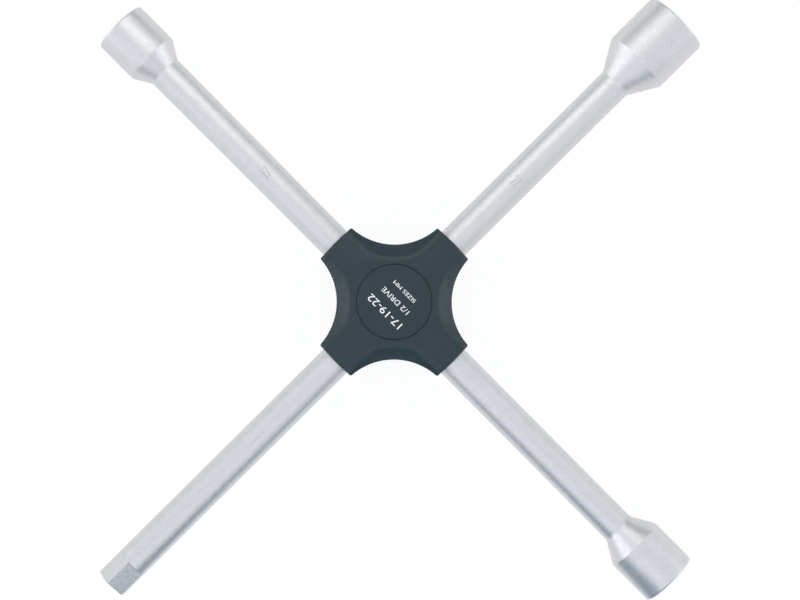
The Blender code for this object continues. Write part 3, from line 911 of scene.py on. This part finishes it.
def add_panel(name, middle, half_size, lean, surface):
    """A studio panel that faces the hub, seen only as a reflection; lean turns its top away."""
    half_width, half_height = half_size
    outward = Vector((middle.x, middle.y, 0)).normalized()
    across = Vector((-outward.y, outward.x, 0)) * half_width
    rise = (Vector((0, 0, cos(lean))) + outward * sin(lean)) * half_height
    bm = bmesh.new()
    for corner in (-across - rise, across - rise, across + rise, -across + rise):
        bm.verts.new(middle + corner)
    bm.faces.new(bm.verts)
    panel = object_from(bm, name)
    panel.data.materials.append(surface)
    panel.visible_camera = False
    panel.visible_diffuse = False
    panel.visible_shadow = False


class Sky:
    """The studio's light by direction: a white tent, brighter and darker in places."""

    def __init__(self):
        world = bpy.data.worlds.new("studio")
        world.use_nodes = True
        bpy.context.scene.world = world
        self.nodes = world.node_tree.nodes
        self.links = world.node_tree.links
        self.background = self.nodes["Background"]
        self.background.inputs["Color"].default_value = (*TENT_COLOUR, 1)
        self.direction = self.nodes.new("ShaderNodeTexCoord").outputs["Generated"]
        self.total = TENT_LIGHT

    def math(self, operation, first, second):
        made = self.nodes.new("ShaderNodeMath")
        made.operation = operation
        for socket, value in zip(made.inputs, (first, second)):
            if isinstance(value, float):
                socket.default_value = value
            else:
                self.links.new(value, socket)
        return made.outputs["Value"]

    def toward(self, way, start, end):
        """Rises smoothly from 0 to 1 as a direction's share along a way does from start to end."""
        dot = self.nodes.new("ShaderNodeVectorMath")
        dot.operation = "DOT_PRODUCT"
        dot.inputs[1].default_value = Vector(way).normalized()
        self.links.new(self.direction, dot.inputs[0])
        smooth = self.nodes.new("ShaderNodeMapRange")
        smooth.interpolation_type = "SMOOTHSTEP"
        smooth.inputs["From Min"].default_value = start
        smooth.inputs["From Max"].default_value = end
        self.links.new(dot.outputs["Value"], smooth.inputs["Value"])
        return smooth.outputs["Result"]

    def add(self, amount, *ways):
        """Adds light, or takes it away, where a direction is along all the ways."""
        light = amount
        for way in ways:
            light = self.math("MULTIPLY", self.toward(*way), light)
        self.total = self.math("ADD", self.total, light)

    def finish(self):
        """Gives the tent its brightness and weak bluish shade, behind a plain white backdrop."""
        self.links.new(self.total, self.background.inputs["Strength"])
        shade = self.nodes.new("ShaderNodeBackground")
        shade.inputs["Color"].default_value = (*SHADE_COLOUR, 1)
        both = self.nodes.new("ShaderNodeAddShader")
        self.links.new(self.background.outputs["Background"], both.inputs[0])
        self.links.new(shade.outputs["Background"], both.inputs[1])
        backdrop = self.nodes.new("ShaderNodeBackground")
        backdrop.inputs["Color"].default_value = (1, 1, 1, 1)
        seen = self.nodes.new("ShaderNodeMixShader")
        path = self.nodes.new("ShaderNodeLightPath")
        self.links.new(path.outputs["Is Camera Ray"], seen.inputs["Fac"])
        self.links.new(both.outputs["Shader"], seen.inputs[1])
        self.links.new(backdrop.outputs["Background"], seen.inputs[2])
        self.links.new(seen.outputs["Shader"], self.nodes["World Output"].inputs["Surface"])


def add_light():
    """The tent, a dark card and a soft box."""
    sky = Sky()
    for amount, *ways in TENT_PATCHES:
        sky.add(amount, *ways)
    sky.finish()
    card = Surface("card", CARD_COLOUR, 0.9).material
    add_panel("card", CARD_PLACE, CARD_HALF_SIZE, CARD_LEAN, card)
    glow = glowing("top_glow", TOP_BOX_GLOW)
    add_panel("top_box", TOP_BOX_PLACE, TOP_BOX_HALF_SIZE, TOP_BOX_LEAN, glow)


def add_camera():
    data = bpy.data.cameras.new("camera")
    data.lens = CAMERA_LENS
    data.sensor_width = 36
    camera = link(bpy.data.objects.new("camera", data))
    away = Vector((*CAMERA_LEAN, 1)).normalized()
    up = Vector((cos(CAMERA_ROLL), sin(CAMERA_ROLL), 0))
    right = up.cross(away).normalized()
    turn = Matrix((right, away.cross(right), away)).transposed().to_4x4()
    camera.matrix_world = Matrix.Translation(Vector(CAMERA_AIM) + away * CAMERA_DISTANCE) @ turn
    bpy.context.scene.camera = camera
    bpy.context.scene.view_settings.view_transform = "Standard"


def main():
    add_camera()
    steel = satin_chrome()
    steel_pieces(steel, satin_chrome("milled_flats", 1.0 * MM, 0.06 * MM, 0.16))
    detent_ball(plated("ball_steel", (0.70, 0.71, 0.73), 0.15))
    detent_spring(plated("spring_steel", (0.35, 0.35, 0.37), 0.3))
    plastic = hub_plastic("hub_plastic", (0.004, 0.021, 0.031), 0.35)
    cap_plastic = hub_plastic("cap_plastic", (0.003, 0.020, 0.030), 0.44)
    hub_shell("hub_front_half", 1, plastic, "hub_shell_front")
    hub_shell("hub_rear_half", -1, plastic, "hub_shell_rear")
    cap("cap_front_disc", 1, cap_plastic, "cap_front")
    cap("cap_rear_disc", -1, cap_plastic, "cap_rear")
    legend(print_ink())
    weld = weld_metal()
    zinc = plated("zinc_plate", (0.55, 0.56, 0.58), 0.38)
    for name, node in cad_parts.items():
        for start, surface in (("weld", weld), ("hub_screw", zinc), ("hub_nut", zinc)):
            if name.startswith(start):
                node.data.materials.clear()
                node.data.materials.append(surface)
    add_floor()
    add_light()


main()
